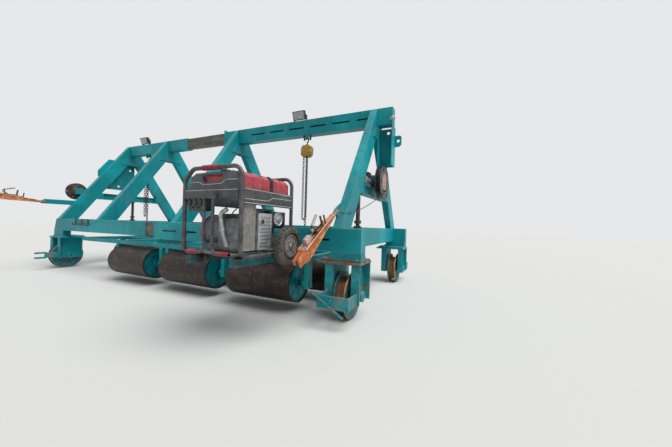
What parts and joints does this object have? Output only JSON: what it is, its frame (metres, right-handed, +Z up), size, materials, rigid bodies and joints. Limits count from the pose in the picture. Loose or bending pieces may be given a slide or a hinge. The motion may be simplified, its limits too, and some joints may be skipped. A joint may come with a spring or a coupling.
{
  "type": "asphalt paver",
  "caption": "Rail-running paver gantry: telescopic box beams on A-frames, a lifting carriage with rows of free-running finishing drums, cable reels, hoists and a generator.",
  "frame": {"origin": "on the floor, midway between the rails and midway between the front and rear wheels", "axes": "+X across the road to the right as seen from the front, +Y to the rear along the rails, +Z up"},
  "size_m": [6.424, 3.949, 2.8126],
  "materials": {
    "teal_paint": "worn turquoise enamel on steel",
    "bare_steel": "unpainted rolled steel with scale",
    "rusty_steel": "rusted cast steel",
    "drum_steel": "dark rolled steel with tar film",
    "black_paint": "matt black paint",
    "grey_paint": "dark grey powder coat",
    "red_paint": "red enamel",
    "orange_paint": "worn orange enamel on pressed steel",
    "yellow_paint": "yellow enamel",
    "cast_alloy": "sand-cast alloy, dull",
    "tyre": "black rubber"
  },
  "bodies": {
    "gantry": {"front_arm": "teal_paint", "front_inner": "bare_steel", "front_sleeve": "teal_paint", "rear_arm": "teal_paint", "rear_inner": "bare_steel", "rear_sleeve": "teal_paint", "top_arm": "teal_paint", "top_inner": "bare_steel", "top_sleeve": "teal_paint", "end_beams": "teal_paint", "front_legs": "teal_paint", "rear_legs": "teal_paint", "leg_shoes": "teal_paint", "apex_gussets": "teal_paint", "cross_bars": "teal_paint", "winch_board": "teal_paint", "reel_post": "teal_paint", "screw_jacks": "black_paint", "drive_motor": "cast_alloy", "reel_gearbox": "teal_paint", "housing_front_left": "teal_paint", "housing_front_right": "teal_paint", "housing_rear_left": "teal_paint", "housing_rear_right": "teal_paint", "rail_guards": "teal_paint", "forked_arms": "teal_paint", "generator_deck": "teal_paint", "generator_frame": "grey_paint", "generator_tank": "red_paint", "generator_panels": "grey_paint", "generator_cover": "grey_paint", "generator_muffler": "cast_alloy", "generator_handle": "grey_paint", "generator_engine": "cast_alloy", "reel_bracket": "teal_paint", "cable_pullers": "orange_paint", "puller_lugs": "teal_paint", "chain_hoists": "yellow_paint", "floodlights": "black_paint"},
    "front_left_wheel": {"wheel_front_left": "rusty_steel"},
    "front_right_wheel": {"wheel_front_right": "rusty_steel"},
    "rear_left_wheel": {"wheel_rear_left": "rusty_steel"},
    "rear_right_wheel": {"wheel_rear_right": "rusty_steel"},
    "drum_carriage": {"carriage_bars": "teal_paint", "carriage_ties": "teal_paint", "drum_hangers": "teal_paint", "lifting_chains": "black_paint"},
    "front_row_drum_1": {"front_drum_1": "drum_steel"},
    "front_row_drum_2": {"front_drum_2": "drum_steel"},
    "front_row_drum_3": {"front_drum_3": "drum_steel"},
    "second_row_drum_1": {"second_drum_1": "drum_steel"},
    "second_row_drum_2": {"second_drum_2": "drum_steel"},
    "second_row_drum_3": {"second_drum_3": "drum_steel"},
    "second_row_drum_4": {"second_drum_4": "drum_steel"},
    "left_cable_reel": {"reel_left": "black_paint"},
    "right_cable_reel": {"reel_right": "black_paint"},
    "generator_left_wheel": {"generator_wheel_left": "tyre"},
    "generator_right_wheel": {"generator_wheel_right": "tyre"}
  },
  "joints": [
    {"name": "front_left_wheel_spin", "type": "hinge", "parent": "gantry", "child": "front_left_wheel", "pos_m": [-2.98, -1.1, 0.245], "axis": [1, 0, 0], "continuous": true},
    {"name": "rear_left_wheel_spin", "type": "hinge", "parent": "gantry", "child": "rear_left_wheel", "pos_m": [-2.98, 1.1, 0.245], "axis": [1, 0, 0], "continuous": true},
    {"name": "front_right_wheel_spin", "type": "hinge", "parent": "gantry", "child": "front_right_wheel", "pos_m": [2.98, -1.1, 0.245], "axis": [1, 0, 0], "continuous": true},
    {"name": "rear_right_wheel_spin", "type": "hinge", "parent": "gantry", "child": "rear_right_wheel", "pos_m": [2.98, 1.1, 0.245], "axis": [1, 0, 0], "continuous": true},
    {"name": "carriage_lift", "type": "slide", "parent": "gantry", "child": "drum_carriage", "axis": [0, 0, 1], "range_m": [0, 0.07]},
    {"name": "front_drum_1_spin", "type": "hinge", "parent": "drum_carriage", "child": "front_row_drum_1", "pos_m": [-0.5, -1.162, 0.323], "axis": [1, 0, 0], "continuous": true},
    {"name": "front_drum_2_spin", "type": "hinge", "parent": "drum_carriage", "child": "front_row_drum_2", "pos_m": [0.74, -1.162, 0.323], "axis": [1, 0, 0], "continuous": true},
    {"name": "front_drum_3_spin", "type": "hinge", "parent": "drum_carriage", "child": "front_row_drum_3", "pos_m": [1.98, -1.162, 0.323], "axis": [1, 0, 0], "continuous": true},
    {"name": "second_drum_1_spin", "type": "hinge", "parent": "drum_carriage", "child": "second_row_drum_1", "pos_m": [-1.575, -0.547, 0.323], "axis": [1, 0, 0], "continuous": true},
    {"name": "second_drum_2_spin", "type": "hinge", "parent": "drum_carriage", "child": "second_row_drum_2", "pos_m": [-0.335, -0.547, 0.323], "axis": [1, 0, 0], "continuous": true},
    {"name": "second_drum_3_spin", "type": "hinge", "parent": "drum_carriage", "child": "second_row_drum_3", "pos_m": [0.905, -0.547, 0.323], "axis": [1, 0, 0], "continuous": true},
    {"name": "second_drum_4_spin", "type": "hinge", "parent": "drum_carriage", "child": "second_row_drum_4", "pos_m": [2.145, -0.547, 0.323], "axis": [1, 0, 0], "continuous": true},
    {"name": "left_reel_spin", "type": "hinge", "parent": "gantry", "child": "left_cable_reel", "pos_m": [-3.1, -0.91129, 1.505], "axis": [1, 0, 0], "continuous": true},
    {"name": "right_reel_spin", "type": "hinge", "parent": "gantry", "child": "right_cable_reel", "pos_m": [3.05, -0.08, 1.575], "axis": [1, 0, 0], "continuous": true},
    {"name": "generator_left_wheel_spin", "type": "hinge", "parent": "gantry", "child": "generator_left_wheel", "pos_m": [1.98, -1.82, 0.785], "axis": [1, 0, 0], "continuous": true},
    {"name": "generator_right_wheel_spin", "type": "hinge", "parent": "gantry", "child": "generator_right_wheel", "pos_m": [2.7, -1.82, 0.785], "axis": [1, 0, 0], "continuous": true}
  ]
}
